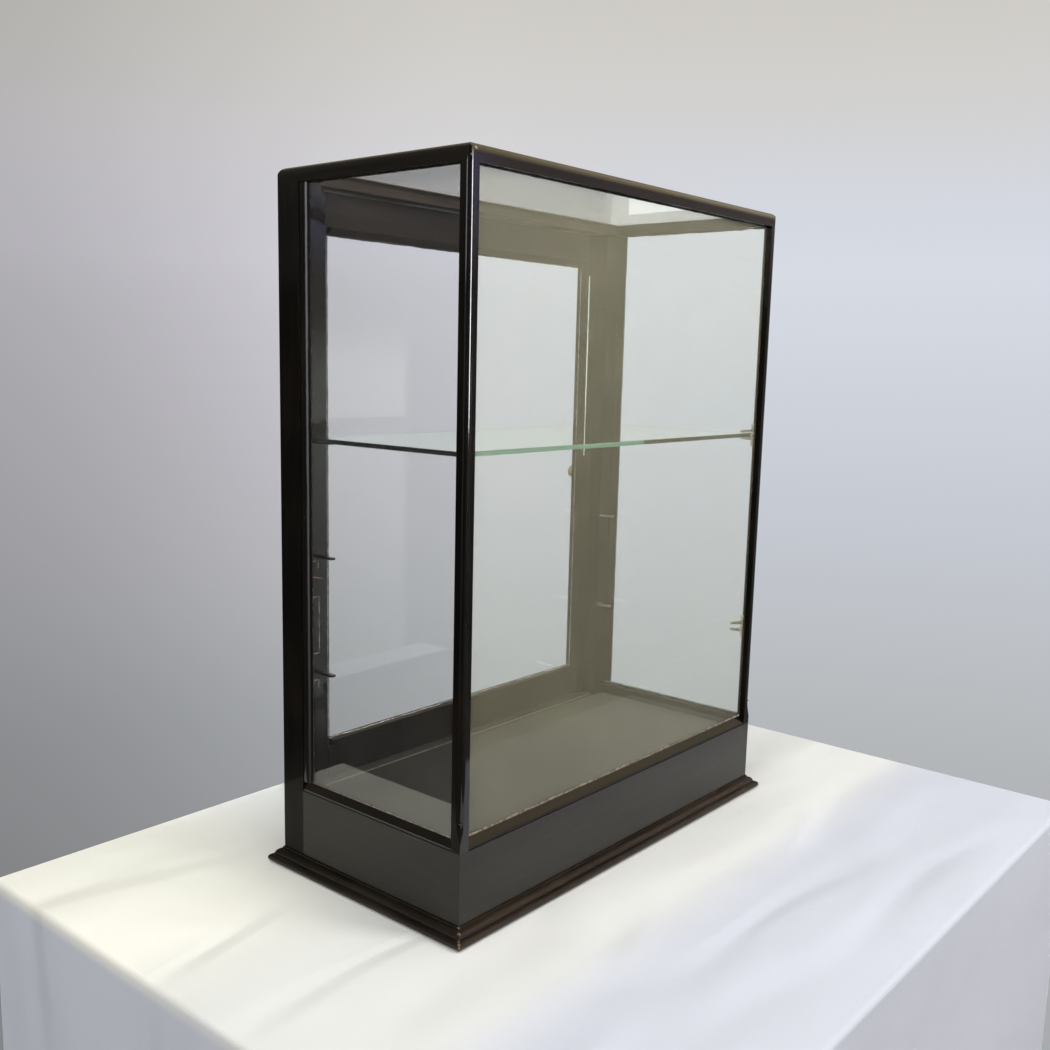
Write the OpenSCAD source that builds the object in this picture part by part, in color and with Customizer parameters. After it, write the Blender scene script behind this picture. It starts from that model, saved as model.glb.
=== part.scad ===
// Countertop display case: glazed on four sides and the top, with a hinged rear door.
// X runs across the wide front, the front pane faces -Y, Z is up.
// The origin is on the table, under the middle of the case.

/* [Case] */
// Width over the posts
case_w = 582; // [500:2:700]
// Depth over the posts
case_d = 280; // [240:2:360]
// Height over the top rails
case_h = 780; // [700:5:900]

/* [Plinth] */
// Height of the plinth wall above the table
plinth_h = 95; // [85:1:120]
// Thickness of the plinth boards
plinth_t = 12; // [10:0.5:14]
// Height of the base moulding
moulding_h = 18; // [16:0.5:20]
// Reach of the base moulding beyond the plinth
moulding_out = 14; // [13:0.5:17]
// How far the floor lies below the top of the plinth
floor_drop = 5; // [3:0.5:8]
// Thickness of the floor panel
floor_t = 6; // [4:0.5:9]
// Side of the battens and corner blocks
batten_w = 14; // [10:1:18]

/* [Frame] */
// Side of the square front posts
post_w = 12.7; // [12.5:0.1:16]
// Radius of the front posts' outer arris
post_r = 6.5; // [4:0.5:7]
// Height over the plinth at which the arris is square again
stop_h = 10; // [6:1:30]
// Height of the run-out of the arris
stop_run = 22; // [15:1:40]
// Width of the rear posts, across the front
rear_post_w = 32; // [30:0.5:40]
// Depth of the rear posts
rear_post_d = 34; // [32:0.5:45]
// Height of the top rails
rail_h = 17; // [15:0.5:24]
// Width of the top rails, seen from above
rail_w = 14.5; // [13.5:0.5:20]
// Radius of the rounded upper edge
rail_r = 8.5; // [5:0.5:9]
// Depth of the ledge that carries the top pane
ledge_w = 5; // [4:0.5:5.5]
// Distance from the outer face to the inner face of the bottom rails
lip_in = 15; // [14:0.5:20]
// Height of the inner lip over the plinth
lip_h = 9.5; // [6:0.5:14]
// Height of the sloping outer bead
bead_h = 11; // [6:0.5:15]
// Width of the upright bead before each rear post
side_bead_w = 13; // [8:0.5:18]
// Side of the bead under the top pane at the header
header_bead = 4; // [3:0.5:6]

/* [Glass] */
// Thickness of the panes
glass_t = 2.4; // [2:0.1:3]
// Distance from the front face to the front pane
front_in = 7.4; // [6:0.1:7.4]
// Distance from the side face to the side panes
side_in = 5; // [3.5:0.1:5]
// Depth of the grooves that hold the panes
groove_d = 2.2; // [1.5:0.1:2.4]
// Play of a pane in its groove, each side
groove_play = 0.1; // [0.05:0.05:0.2]
// Height of the top pane's upper face below the rails' top
top_drop = 0.7; // [0.3:0.1:1.5]

/* [Shelf] */
// Thickness of the glass shelf
shelf_t = 5; // [4:0.5:6]
// Height of the shelf's underside
shelf_z = 491.6; // [400:0.5:620]
// Height of the spare brackets' seat
spare_z = 230; // [160:1:330]
// Distance from the rear posts to the shelf's rear edge
shelf_back = 4.5; // [3.5:0.5:10]
// Play between the shelf and the brackets' plates
shelf_play = 0.3; // [0.2:0.1:1]

/* [Brackets] */
// Height of a bracket's plate
plate_h = 32; // [26:1:44]
// Width of a bracket's plate and prongs
plate_w = 6.6; // [5.6:0.2:6.6]
// Thickness of a bracket's plate
plate_t = 2; // [1.5:0.1:3]
// Length of the prongs
prong_l = 15; // [10:0.5:20]
// Thickness of a prong at its root
prong_t = 4.4; // [3:0.2:5]
// Room over the shelf between the prongs
prong_gap = 0.6; // [0.4:0.1:1.5]
// Distance from the bracket's middle to each screw
screw_at = 11.6; // [10.6:0.1:13]
// Offset of a bracket towards the side pane
plate_off = 0.7; // [0.4:0.1:1]

/* [Rear supports] */
// Height of the rear tongues between the shelf and the spare brackets
mid_z = 364; // [350:1:400]
// Reach of a tongue from the rear post
tongue_l = 22; // [18:1:26]
// Width of a tongue
tongue_w = 6; // [5:0.5:7]
// Thickness of a tongue
tongue_t = 2.4; // [2:0.2:3]

/* [Door] */
// Thickness of the rear door
door_t = 16; // [15:0.5:20]
// Width of the stiles' flat face
stile_w = 19.6; // [19:0.2:30]
// Height of the top rail's flat face
door_top_h = 37; // [30:1:60]
// Height of the bottom rail's flat face
door_bottom_h = 36.5; // [30:0.5:60]
// Width of the bevel between the flat face and the pane
door_bevel = 7.5; // [6:0.5:8]
// Width of the rebate behind the pane
rebate_w = 5; // [4:0.5:6]
// Gap at the sides of the door
door_gap = 1.4; // [1.2:0.1:2]
// Gap above and below the door
door_rise = 2; // [1.5:0.5:3]
// Length of the rails' tenons
tenon_l = 10; // [8:1:12]

/* [Hinges] */
// Length of a hinge
hinge_h = 50; // [40:1:70]
// Thickness of a hinge's leaf
leaf_t = 1.2; // [1:0.1:1.5]
// Width of a leaf from the barrel inwards
leaf_w = 14; // [12:0.5:15]
// Radius of a hinge's barrel
barrel_r = 3; // [2.6:0.1:4]
// Radius of a hinge's pin
pin_r = 1.5; // [1:0.1:1.7]
// Distance from the door's ends to each hinge's middle
hinge_at = 90; // [60:5:160]

/* [Catch] */
// Height of the knob
knob_z = 425; // [200:5:600]
// Reach of the knob beyond the door
knob_out = 15; // [13:0.5:15]
// Radius of the knob
knob_r = 9; // [7:0.5:9]
// Radius of the spindle
spindle_r = 1.8; // [1.8:0.1:2]
// Travel of the bolt
bolt_throw = 5; // [4:0.1:5]
// Thickness of the bolt
bolt_t = 3; // [2.5:0.1:3.5]
// Height of the bolt's nose
nose_h = 8; // [6:0.5:9]

/* [Hidden] */

$fn = 64;
// Small overlap that makes a cut go right through
cut = 1;
w = case_w / 2;
d = case_d / 2;
wood = [0.15, 0.11, 0.09];
wood_inside = [0.22, 0.17, 0.13];
pale_wood = [0.62, 0.48, 0.32];
glass_colour = [0.78, 0.88, 0.86, 0.35];
nickel = [0.72, 0.7, 0.64];
brass = [0.68, 0.55, 0.3];

// Levels
floor_z = plinth_h - floor_drop;
rail_z = case_h - rail_h;
pane_seat = 3;
pane_low = plinth_h + pane_seat;
top_seat_z = case_h - top_drop - glass_t;
rear_y = d - rear_post_d;

// Grooves and panes
groove_w = glass_t + 2 * groove_play;
pane_gap = 0.3;
front_groove = front_in - groove_play;
side_groove = side_in - groove_play;
post_groove = post_w - groove_d;
pane_edge = post_groove + pane_gap;
pane_top = rail_z + groove_d - pane_gap;
ledge_at = rail_w - ledge_w;
header_groove = rear_y + ledge_w;

// Brackets sit on a flat across the front posts' inner corner
seat_s = 2 * post_w - 1.4;
seat_e = seat_s / sqrt(2);
plate_front_e = seat_e + plate_t;
fork_gap = shelf_t + prong_gap;
spare_mid = spare_z + fork_gap / 2;
shelf_mid = shelf_z + fork_gap / 2;
tongue_in = 12;
tongue_fit = 0.05;
screw_r = 0.8;
screw_head_r = 1.7;
screw_l = 9;

// Shelf outline
shelf_side = 12;
shelf_front = (plate_front_e + shelf_play) * sqrt(2) - shelf_side;
shelf_top = shelf_z + shelf_t;

// Door
door_x = w - rear_post_w - door_gap;
door_z0 = floor_z + door_rise;
door_z1 = rail_z - door_rise;
door_y = d - door_t;
sight_x = door_x - stile_w;
sight_z0 = door_z0 + door_bottom_h;
sight_z1 = door_z1 - door_top_h;
pane_y = door_y + door_bevel;
open_x = sight_x - door_bevel;
open_z0 = sight_z0 + door_bevel;
open_z1 = sight_z1 - door_bevel;
door_pane_gap = 0.4;
tenon_t = 5;
tenon_fit = 0.1;

// Hinges
hinge_x = -(door_x + door_gap / 2);
barrel_gap = 0.3;
hinge_y = d + barrel_r + barrel_gap;
hinge_zs = [door_z0 + hinge_at, door_z1 - hinge_at];
knuckle_gap = 0.2;
pin_fit = 0.05;
leaf_y = d - leaf_w;
leaf_fit = 0.05;
hinge_screw_r = 1.2;
hinge_screw_head_r = 2.4;
hinge_screw_l = 9;
hinge_screw_ys = [leaf_y + 4, leaf_y + 8.5];

// Catch
case_wall = 1;
case_fit = 0.2;
bolt_rim = 1.4;
window_in = spindle_r + 0.4;
window_out = window_in + bolt_throw - 0.2;
bolt_back = window_out + bolt_rim;
catch_x = door_x - case_wall - case_fit - bolt_throw - bolt_rim - window_in;
catch_y = door_y + door_t / 2;
bolt_front = door_x - catch_x - 0.2;
cam_l = bolt_throw + 0.4;
window_h = [cam_l + 1.1, spindle_r + 0.5];
bolt_h = [window_h[0] + 1.8, window_h[1] + 1.8];
case_y = bolt_t / 2 + case_fit + case_wall;
case_h0 = bolt_h[0] + case_fit + case_wall;
case_h1 = bolt_h[1] + case_fit + case_wall;
case_x0 = catch_x - bolt_back - case_fit - case_wall;
spindle_fit = 0.1;
rose_r = 9.5;
rose_t = 1.5;
knob_fit = 0.3;
strike_t = 1;
strike_h = 30;
strike_w = 12;
strike_screw_at = 11;

// Dowels
dowel_r = 2.5;
dowel_l = 18;
dowel_fit = 0.05;
front_dowel = 5.5;
rear_dowels = [7, rear_post_w - 8];

// Base moulding
fillet_h = 2.2;
fillet_out = 1.5;
step_z = moulding_h / 2;
nose_r = step_z / 2;
round_r = moulding_h - fillet_h - step_z;

// Mirrored copies to the left and the right
module both_sides() {
    children();
    mirror([1, 0, 0]) children();
}

// A block between two corners
module block(a, b) {
    translate(a) cube(b - a);
}

// Plan regions, each cut at 45 degrees through the corners of the case
module front_region(reach = 60, out = 60) {
    linear_extrude(2 * case_h, center = true)
        polygon([
            [-w - out, -d - out], [w + out, -d - out],
            [w - reach, -d + reach], [-w + reach, -d + reach]
        ]);
}

module rear_region(reach = 60, out = 60) {
    mirror([0, 1, 0]) front_region(reach, out);
}

module left_region(reach = 60, out = 60) {
    linear_extrude(2 * case_h, center = true)
        polygon([
            [-w - out, -d - out], [-w + reach, -d + reach],
            [-w + reach, d - reach], [-w - out, d + out]
        ]);
}

// The corner of a square less its rounding, with the corner at the origin
module arris(r) {
    difference() {
        translate([-cut, -cut]) square([r + cut, r + cut]);
        translate([r, r]) circle(r);
    }
}

// Base moulding: a small fillet, a quarter round, a step and a half round nose, seen from its end
module moulding_section() {
    difference() {
        union() {
            square([fillet_out, moulding_h]);
            translate([fillet_out, step_z]) circle(round_r);
            square([moulding_out - nose_r, step_z]);
            translate([moulding_out - nose_r, nose_r]) circle(nose_r);
        }
        translate([-round_r, -cut]) square([round_r, moulding_h]);
    }
}

module moulding_length(len) {
    rotate([90, 0, 90]) linear_extrude(len, center = true) moulding_section();
}

module base_moulding_front() {
    color(wood) intersection() {
        translate([0, -d, 0]) mirror([0, 1, 0]) moulding_length(case_w + 2 * moulding_out + 2);
        front_region();
    }
}

module base_moulding_rear() {
    mirror([0, 1, 0]) base_moulding_front();
}

module base_moulding_left() {
    color(wood) intersection() {
        translate([-w, 0, 0]) rotate(90) moulding_length(case_d + 2 * moulding_out + 2);
        left_region();
    }
}

module base_moulding_right() {
    mirror([1, 0, 0]) base_moulding_left();
}

// Dowels that tie the posts to the plinth and the top rails
module dowel_set(fit = 0) {
    both_sides() {
        for (z = [plinth_h, rail_z]) {
            translate([-w + front_dowel, -d + front_dowel, z]) {
                cylinder(h = dowel_l + 2 * fit, r = dowel_r + fit, center = true);
            }
        }
        for (x = rear_dowels) {
            translate([-w + x, (rear_y + d) / 2, rail_z]) {
                cylinder(h = dowel_l + 2 * fit, r = dowel_r + fit, center = true);
            }
        }
    }
}

module frame_dowels() {
    color(pale_wood) dowel_set();
}

// Plinth boards, mitred at the front and butted to the rear posts
module plinth_front() {
    color(wood) difference() {
        intersection() {
            block([-w, -d, 0], [w, -d + plinth_t, plinth_h]);
            front_region();
        }
        dowel_set(dowel_fit);
    }
}

module plinth_left() {
    color(wood) difference() {
        intersection() {
            block([-w, -d, 0], [-w + plinth_t, rear_y, plinth_h]);
            left_region(reach = 20);
        }
        dowel_set(dowel_fit);
    }
}

module plinth_right() {
    mirror([1, 0, 0]) plinth_left();
}

module plinth_rear() {
    color(wood) block([-w + rear_post_w, d - plinth_t, 0], [w - rear_post_w, d, floor_z - batten_w]);
}

module corner_blocks() {
    block_h = floor_z - floor_t - batten_w;
    color(pale_wood) both_sides() {
        block(
            [-w + plinth_t, -d + plinth_t, 0],
            [-w + plinth_t + batten_w, -d + plinth_t + batten_w, block_h]
        );
        block(
            [-w + rear_post_w, d - plinth_t - batten_w, 0],
            [-w + rear_post_w + batten_w, d - plinth_t, block_h]
        );
    }
}

module floor_battens() {
    z0 = floor_z - floor_t - batten_w;
    z1 = floor_z - floor_t;
    color(pale_wood) {
        block([-w + plinth_t, -d + plinth_t, z0], [w - plinth_t, -d + plinth_t + batten_w, z1]);
        both_sides() {
            block([-w + plinth_t, -d + plinth_t + batten_w, z0], [-w + plinth_t + batten_w, rear_y - 2, z1]);
        }
    }
}

module floor_panel() {
    color(wood_inside) {
        block([-w + plinth_t, -d + plinth_t, floor_z - floor_t], [w - plinth_t, rear_y - 2, floor_z]);
    }
}

module rear_sill() {
    color(wood_inside) {
        block([-w + rear_post_w, rear_y - 2, floor_z - batten_w], [w - rear_post_w, d, floor_z]);
    }
}

// Bottom rail: an inner lip with a foot down to the floor and a seat for the pane
module lip_section(pane_in) {
    back = pane_in + glass_t + groove_play;
    polygon([
        [pane_in - groove_play, plinth_h], [pane_in - groove_play, pane_low], [back, pane_low],
        [back, plinth_h + lip_h], [lip_in - 2, plinth_h + lip_h], [lip_in, plinth_h + lip_h - 2],
        [lip_in, floor_z], [plinth_t, floor_z], [plinth_t, plinth_h]
    ]);
}

// Outer bead: slopes up from the plinth's edge to the pane
module bead_section(pane_in) {
    polygon([
        [1, plinth_h], [1, plinth_h + 2.5], [pane_in - groove_play, plinth_h + bead_h],
        [pane_in - groove_play, plinth_h]
    ]);
}

// Stands a section up with its first axis pointing inwards from the front face
module along_front() {
    translate([0, -d, 0]) rotate([90, 0, 90]) linear_extrude(case_w, center = true) children();
}

module along_left() {
    translate([-w, 0, 0]) rotate([90, 0, 0]) linear_extrude(case_d + 2, center = true) children();
}

module between_front_posts() {
    intersection() {
        children();
        block([-w + post_w, -d - cut, 0], [w - post_w, -d + 2 * lip_in, case_h]);
        front_region(reach = 30);
    }
}

module between_left_posts() {
    intersection() {
        children();
        block([-w - cut, -d + post_w, 0], [-w + 2 * lip_in, rear_y, case_h]);
        left_region(reach = 30);
    }
}

module bottom_rail_front() {
    color(wood) between_front_posts() along_front() lip_section(front_in);
}

module bottom_rail_left() {
    color(wood) between_left_posts() along_left() lip_section(side_in);
}

module bottom_rail_right() {
    mirror([1, 0, 0]) bottom_rail_left();
}

module bottom_bead_front() {
    color(wood) between_front_posts() along_front() bead_section(front_in);
}

module bottom_bead_left() {
    color(wood) between_left_posts() along_left() bead_section(side_in);
}

module bottom_bead_right() {
    mirror([1, 0, 0]) bottom_bead_left();
}

// Upright outer bead between the side pane and the rear post, with a rounded outer face
module side_bead_left() {
    flat_w = 2.5;
    deep = side_in - groove_play - 1;
    long = side_bead_w - flat_w;
    bow_r = (deep * deep + long * long) / (2 * deep);
    color(wood) translate([-w, rear_y, plinth_h + bead_h]) linear_extrude(rail_z - plinth_h - bead_h) {
        translate([1, -flat_w]) square([deep, flat_w]);
        intersection() {
            translate([1, -side_bead_w]) square([deep, side_bead_w]);
            translate([1 + bow_r, -flat_w]) circle(bow_r, $fn = 128);
        }
    }
}

module side_bead_right() {
    mirror([1, 0, 0]) side_bead_left();
}

// Cutter for the front posts' outer arris, with a curved run-out at its foot
module arris_cutter() {
    z1 = plinth_h + stop_h + stop_run;
    depth = post_r * (sqrt(2) - 1);
    run_r = (stop_run * stop_run) / (2 * depth);
    sweep = asin(min(1, (stop_run + 4) / run_r));
    mid = post_r * sqrt(2);
    translate([-w, -d, z1]) linear_extrude(case_h) arris(post_r);
    translate([-w, -d, z1]) rotate([90, 0, 45]) translate([-run_r, 0, 0]) {
        rotate([0, 0, -sweep]) rotate_extrude(angle = sweep, $fn = 180) translate([run_r, 0]) {
            difference() {
                translate([-2, -post_r]) square([2 + post_r / sqrt(2), 2 * post_r]);
                translate([mid, 0]) circle(post_r);
            }
        }
    }
}

// Front post: grooves for the front and side panes, and a flat for the brackets
module front_post_left() {
    z0 = plinth_h;
    color(wood) difference() {
        block([-w, -d, z0], [-w + post_w, -d + post_w, rail_z]);
        arris_cutter();
        block(
            [-w + post_groove, -d + front_groove, z0 - cut],
            [-w + post_w + cut, -d + front_groove + groove_w, rail_z + cut]
        );
        block(
            [-w + side_groove, -d + post_groove, z0 - cut],
            [-w + side_groove + groove_w, -d + post_w + cut, rail_z + cut]
        );
        translate([-w, -d, z0 - cut]) rotate(45) translate([seat_e, -post_w, 0])
            cube([post_w, 2 * post_w, case_h]);
        dowel_set(dowel_fit);
        bracket_holes();
    }
}

module front_post_right() {
    mirror([1, 0, 0]) front_post_left();
}

// Rear post: runs from the table to the top rails
module rear_post_blank() {
    difference() {
        block([-w, rear_y, 0], [-w + rear_post_w, d, rail_z]);
        block(
            [-w + side_groove, rear_y - cut, pane_low],
            [-w + side_groove + groove_w, rear_y + groove_d, rail_z + cut]
        );
        dowel_set(dowel_fit);
        tongue_set(tongue_fit);
    }
}

module rear_post_left() {
    color(wood) difference() {
        rear_post_blank();
        for (z = hinge_zs) {
            block(
                [-w + rear_post_w - leaf_t - leaf_fit, leaf_y - leaf_fit, z - hinge_h / 2 - leaf_fit],
                [-w + rear_post_w + cut, d + cut, z + hinge_h / 2 + leaf_fit]
            );
        }
        hinge_screw_set(-1, leaf_fit);
    }
}

module rear_post_right() {
    x0 = w - rear_post_w;
    color(wood) difference() {
        mirror([1, 0, 0]) rear_post_blank();
        block(
            [x0 - cut, catch_y - bolt_t / 2 - 0.6, knob_z - nose_h / 2 - 0.6],
            [x0 + bolt_throw + 2, catch_y + bolt_t / 2 + 0.6, knob_z + nose_h / 2 + 0.6]
        );
        block(
            [x0 - cut, catch_y - strike_w / 2 - leaf_fit, knob_z - strike_h / 2 - leaf_fit],
            [x0 + strike_t + leaf_fit, catch_y + strike_w / 2 + leaf_fit, knob_z + strike_h / 2 + leaf_fit]
        );
        strike_screw_set(leaf_fit);
    }
}

// The whole top frame in one form: a slab with its upper edges and front corners rounded
module cap_form() {
    intersection() {
        rotate([90, 0, 0]) linear_extrude(case_d + 2, center = true) cap_outline(w);
        rotate([90, 0, 90]) linear_extrude(case_w + 2, center = true) cap_outline(d);
        difference() {
            block([-w, -d, rail_z], [w, d, case_h]);
            both_sides() {
                translate([-w, -d, rail_z - cut]) linear_extrude(rail_h + 2 * cut) arris(post_r);
            }
        }
    }
}

module cap_outline(half) {
    translate([-half, rail_z]) square([2 * half, rail_h - rail_r]);
    translate([-half + rail_r, rail_z]) square([2 * (half - rail_r), rail_h]);
    for (s = [-1, 1]) {
        translate([s * (half - rail_r), case_h - rail_r]) circle(rail_r);
    }
}

// Room for the top pane and for the upright panes' upper edges
module cap_cuts() {
    block([-w + rail_w, -d + rail_w, rail_z - cut], [w - rail_w, rear_y, case_h + cut]);
    block([-w + ledge_at, -d + ledge_at, top_seat_z], [w - ledge_at, header_groove, case_h + cut]);
    block(
        [-w + post_groove, -d + front_groove, rail_z - cut],
        [w - post_groove, -d + front_groove + groove_w, rail_z + groove_d]
    );
    both_sides() {
        block(
            [-w + side_groove, -d + post_groove, rail_z - cut],
            [-w + side_groove + groove_w, rear_y + groove_d, rail_z + groove_d]
        );
    }
    dowel_set(dowel_fit);
}

module cap_piece() {
    difference() {
        intersection() {
            cap_form();
            children();
        }
        cap_cuts();
    }
}

module top_rail_front() {
    color(wood) cap_piece() front_region(reach = rail_w);
}

module top_rail_left() {
    color(wood) cap_piece() {
        intersection() {
            left_region(reach = rail_w);
            block([-w - cut, -d - cut, 0], [-w + rail_w, d + cut, case_h + cut]);
        }
    }
}

module top_rail_right() {
    mirror([1, 0, 0]) top_rail_left();
}

module rear_header() {
    color(wood) cap_piece() {
        difference() {
            block([-w, rear_y, rail_z - cut], [w, d + cut, case_h + cut]);
            both_sides() left_region(reach = rail_w);
            both_sides() block([-w - cut, rear_y - cut, 0], [-w + rail_w, d - rail_w, case_h + 2 * cut]);
        }
    }
}

module header_bead_strip() {
    color(wood) translate([0, rear_y, top_seat_z - header_bead]) rotate([90, 0, 90]) {
        linear_extrude(case_w - 2 * rail_w, center = true) difference() {
            translate([-header_bead, 0]) square(header_bead);
            translate([-header_bead, 0]) circle(header_bead * 0.6);
        }
    }
}

// Panes
module front_pane() {
    color(glass_colour) {
        block([-w + pane_edge, -d + front_in, pane_low], [w - pane_edge, -d + front_in + glass_t, pane_top]);
    }
}

module left_pane() {
    color(glass_colour) {
        block(
            [-w + side_in, -d + pane_edge, pane_low],
            [-w + side_in + glass_t, rear_y + groove_d - pane_gap, pane_top]
        );
    }
}

module right_pane() {
    mirror([1, 0, 0]) left_pane();
}

module top_pane() {
    inset = ledge_at + pane_gap;
    color(glass_colour) {
        block(
            [-w + inset, -d + inset, top_seat_z],
            [w - inset, header_groove - pane_gap, top_seat_z + glass_t]
        );
    }
}

module glass_shelf() {
    color(glass_colour) {
        block(
            [-w + shelf_side, -d + shelf_front, shelf_z],
            [w - shelf_side, rear_y - shelf_back, shelf_top]
        );
    }
}

// Fork bracket: its plate stands in the YZ plane with its back at x = 0, its prongs point to +X
module bracket() {
    difference() {
        rotate([90, 0, 90]) linear_extrude(plate_t) {
            square([plate_w, plate_h - plate_w], center = true);
            for (s = [-1, 1]) {
                translate([0, s * (plate_h - plate_w) / 2]) circle(plate_w / 2);
            }
        }
        bracket_screws_at(0.05);
    }
    translate([plate_t, 0, 0]) rotate([90, 0, 0]) linear_extrude(plate_w, center = true) {
        prong();
        mirror([0, 1]) prong();
    }
}

// One prong, seen from the side: flat towards the shelf, tapering to a round tip
module prong() {
    tip = prong_t * 0.35;
    g = fork_gap / 2;
    polygon([[0, g], [prong_l - tip, g], [prong_l - tip, g + 2 * tip], [0, g + prong_t]]);
    translate([prong_l - tip, g + tip]) circle(tip);
}

module screw(r, head_r, length) {
    head_h = head_r - r;
    translate([0, 0, -head_h]) cylinder(h = head_h, r1 = r, r2 = head_r);
    translate([0, 0, -length]) cylinder(h = length - head_h / 2, r = r);
}

// The two screws of a bracket; fit widens them into their holes
module bracket_screws_at(fit = 0) {
    for (s = [-1, 1]) {
        translate([plate_t, 0, s * screw_at]) rotate([0, 90, 0])
            screw(screw_r + fit, screw_head_r + fit, screw_l + fit);
    }
}

module bracket_place(mid) {
    both_sides() {
        translate([-w, -d, mid]) rotate(45) translate([seat_e, plate_off, 0]) children();
    }
}

module bracket_holes() {
    for (mid = [shelf_mid, spare_mid]) {
        bracket_place(mid) bracket_screws_at(0.05);
    }
}

module bracket_screws() {
    color(nickel) {
        for (mid = [shelf_mid, spare_mid]) {
            bracket_place(mid) bracket_screws_at();
        }
    }
}

module upper_brackets() {
    color(nickel) bracket_place(shelf_mid) bracket();
}

module lower_brackets() {
    color(nickel) bracket_place(spare_mid) bracket();
}

// Flat tongues let into the rear posts, with fit for their mortises
module tongue_set(fit = 0) {
    x0 = -w + rear_post_w - tongue_w - 0.5;
    for (z = [shelf_z, mid_z, spare_z]) {
        block(
            [x0 - fit, rear_y - tongue_l, z - tongue_t - fit],
            [x0 + tongue_w + fit, rear_y + tongue_in + fit, z + fit]
        );
    }
}

module rear_shelf_tongues() {
    color(nickel) both_sides() tongue_set();
}

// Door frame before it is parted: bevelled opening in front, square rebate behind
module door_form() {
    difference() {
        block([-door_x, door_y, door_z0], [door_x, d, door_z1]);
        block([-open_x, door_y - cut, open_z0], [open_x, d + cut, open_z1]);
        // bevels beside, above and below the opening
        both_sides() bevel_cut([sight_x, 0, 0], 0, 2 * case_h);
        bevel_cut([0, 0, sight_z1], 1, 2 * case_w);
        mirror([0, 0, 1]) bevel_cut([0, 0, -sight_z0], 1, 2 * case_w);
        block(
            [-open_x - rebate_w, pane_y, open_z0 - rebate_w],
            [open_x + rebate_w, d + cut, open_z1 + rebate_w]
        );
    }
}

// A 45 degree wedge off the front face, inwards from a sight line
module bevel_cut(at, flat, len) {
    intersection() {
        block([-sight_x, door_y - cut, sight_z0], [sight_x, pane_y, sight_z1]);
        translate([at[0], door_y, at[2]]) rotate([0, flat ? -90 : 0, 0]) {
            linear_extrude(len, center = true) polygon([
                [0, 0], [-door_bevel, door_bevel], [-door_bevel - 1, door_bevel],
                [-door_bevel - 1, -cut], [0, -cut]
            ]);
        }
    }
}

module stile_region() {
    rotate([90, 0, 0]) linear_extrude(2 * case_d, center = true) polygon([
        [door_x, door_z0], [door_x, door_z1], [sight_x, door_z1], [sight_x, sight_z1],
        [open_x, open_z1], [open_x, open_z0], [sight_x, sight_z0], [sight_x, door_z0]
    ]);
}

// Tenons of the door's rails, or their mortises with fit
module tenons(fit = 0) {
    y0 = catch_y - tenon_t / 2;
    both_sides() {
        for (z = [[door_z0 + 8, sight_z0 - 4], [sight_z1 + 4, door_z1 - 8]]) {
            block(
                [sight_x - 0.01 * (1 - sign(fit)), y0 - fit, z[0] - fit],
                [sight_x + tenon_l + fit, y0 + tenon_t + fit, z[1] + fit]
            );
        }
    }
}

module door_stile() {
    difference() {
        intersection() {
            door_form();
            stile_region();
        }
        tenons(tenon_fit);
    }
}

module door_stile_hinge() {
    color(wood) difference() {
        mirror([1, 0, 0]) door_stile();
        for (z = hinge_zs) {
            block(
                [-door_x - cut, leaf_y - leaf_fit, z - hinge_h / 2 - leaf_fit],
                [-door_x + leaf_t + leaf_fit, d + cut, z + hinge_h / 2 + leaf_fit]
            );
        }
        hinge_screw_set(1, leaf_fit);
    }
}

module door_stile_catch() {
    color(wood) difference() {
        door_stile();
        block(
            [case_x0 - case_fit, catch_y - case_y - case_fit, knob_z - case_h0 - case_fit],
            [door_x + cut, catch_y + case_y + case_fit, knob_z + case_h1 + case_fit]
        );
        translate([catch_x, catch_y, knob_z]) rotate([-90, 0, 0]) cylinder(h = door_t, r = spindle_r + 0.6);
    }
}

module door_rail(sides) {
    union() {
        difference() {
            intersection() {
                door_form();
                block([-door_x, 0, sides[0]], [door_x, d + cut, sides[1]]);
            }
            both_sides() stile_region();
        }
        intersection() {
            tenons();
            block([-door_x, 0, sides[0]], [door_x, d + cut, sides[1]]);
        }
    }
}

module door_rail_top() {
    color(wood) door_rail([open_z1 - cut, door_z1]);
}

module door_rail_bottom() {
    color(wood) door_rail([door_z0, open_z0 + cut]);
}

module door_pane() {
    inset = rebate_w - door_pane_gap;
    color(glass_colour) {
        block(
            [-open_x - inset, pane_y, open_z0 - inset],
            [open_x + inset, pane_y + glass_t, open_z1 + inset]
        );
    }
}

// Beads behind the door's pane, mitred at the corners
module behind_pane() {
    y1 = d - 0.5;
    color(wood) translate([0, y1, 0]) rotate([90, 0, 0]) linear_extrude(y1 - pane_y - glass_t) children();
}

module door_beads_upright() {
    x1 = open_x + rebate_w;
    behind_pane() {
        for (s = [-1, 1]) {
            polygon([
                [s * x1, open_z0 - rebate_w], [s * x1, open_z1 + rebate_w],
                [s * open_x, open_z1], [s * open_x, open_z0]
            ]);
        }
    }
}

module door_beads_level() {
    x1 = open_x + rebate_w;
    behind_pane() {
        polygon([[-x1, open_z1 + rebate_w], [x1, open_z1 + rebate_w], [open_x, open_z1], [-open_x, open_z1]]);
        polygon([[-x1, open_z0 - rebate_w], [x1, open_z0 - rebate_w], [open_x, open_z0], [-open_x, open_z0]]);
    }
}

// Hinges: the case leaf has the outer knuckles, the door leaf the middle one
module hinge_screw_set(side, fit = 0) {
    x = side < 0 ? -w + rear_post_w : -door_x;
    for (z = hinge_zs, k = [-1, 0, 1]) {
        translate([x, hinge_screw_ys[abs(k)], z + k * hinge_h * 0.36]) rotate([0, -90 * side, 0])
            screw(hinge_screw_r + fit, hinge_screw_head_r + fit, hinge_screw_l + fit);
    }
}

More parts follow.
